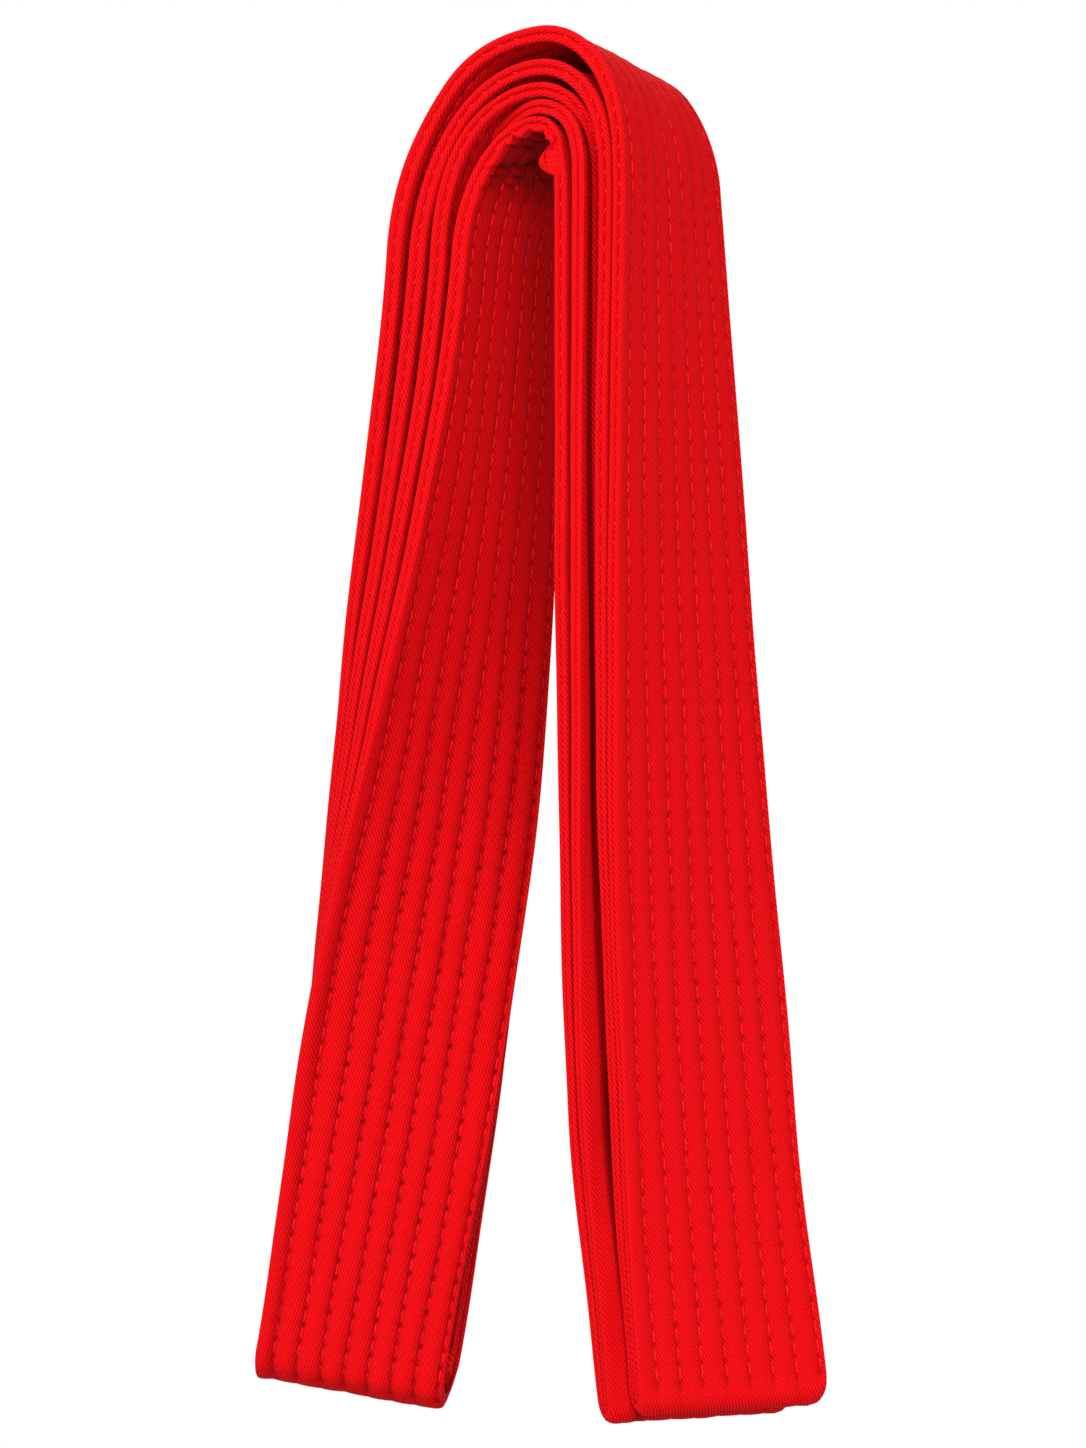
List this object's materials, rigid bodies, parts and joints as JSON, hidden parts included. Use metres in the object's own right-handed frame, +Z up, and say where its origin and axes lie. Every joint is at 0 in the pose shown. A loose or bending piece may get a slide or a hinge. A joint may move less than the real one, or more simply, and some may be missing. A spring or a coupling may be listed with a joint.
{
  "type": "martial arts belt",
  "caption": "Red quilted cotton martial arts belt, folded into a long bundle and hung in an arch over a rest, its two legs hanging with a gentle twist.",
  "frame": {"origin": "the middle of the crown's underside, where the innermost strand rests on whatever it hangs over", "axes": "+Z up, +Y along the rest and across the strip's width at the crown, +X across the rest from the left leg to the right leg"},
  "size_m": [0.135, 0.0525, 0.2805],
  "materials": {
    "cover_twill": "matt cotton twill with quilting rows",
    "core_wadding": "undyed cotton wadding"
  },
  "bodies": {
    "crown": {"crown_first_cover": "cover_twill", "crown_first_core_front": "core_wadding", "crown_first_core_back": "core_wadding", "crown_second_cover": "cover_twill", "crown_second_core_front": "core_wadding", "crown_second_core_back": "core_wadding", "crown_third_cover": "cover_twill", "crown_third_core_front": "core_wadding", "crown_third_core_back": "core_wadding", "crown_fourth_end_cover": "cover_twill", "crown_fourth_end_core_front": "core_wadding", "crown_fourth_end_core_back": "core_wadding", "crown_fifth_cover": "cover_twill", "crown_fifth_core_front": "core_wadding", "crown_fifth_core_back": "core_wadding"},
    "left_leg": {"left_outer_loop_cover": "cover_twill", "left_outer_loop_core_front": "core_wadding", "left_outer_loop_core_back": "core_wadding", "left_inner_loop_cover": "cover_twill", "left_inner_loop_core_front": "core_wadding", "left_inner_loop_core_back": "core_wadding"},
    "right_leg": {"right_outer_loop_cover": "cover_twill", "right_outer_loop_core_front": "core_wadding", "right_outer_loop_core_back": "core_wadding", "right_inner_loop_cover": "cover_twill", "right_inner_loop_core_front": "core_wadding", "right_inner_loop_core_back": "core_wadding", "right_hidden_end_cover": "cover_twill", "right_hidden_end_core_front": "core_wadding", "right_hidden_end_core_back": "core_wadding"}
  },
  "joints": [
    {"name": "left_leg_swing", "type": "hinge", "parent": "crown", "child": "left_leg", "pos_m": [-0.03471, 0.00024, -0.02336], "axis": [0.0133, 0.9999, -0.0012], "range_deg": [0, 40]},
    {"name": "right_leg_swing", "type": "hinge", "parent": "crown", "child": "right_leg", "pos_m": [0.02148, -0.00063, -0.02407], "axis": [-0.0378, -0.9993, -0.0021], "range_deg": [0, 40]}
  ]
}
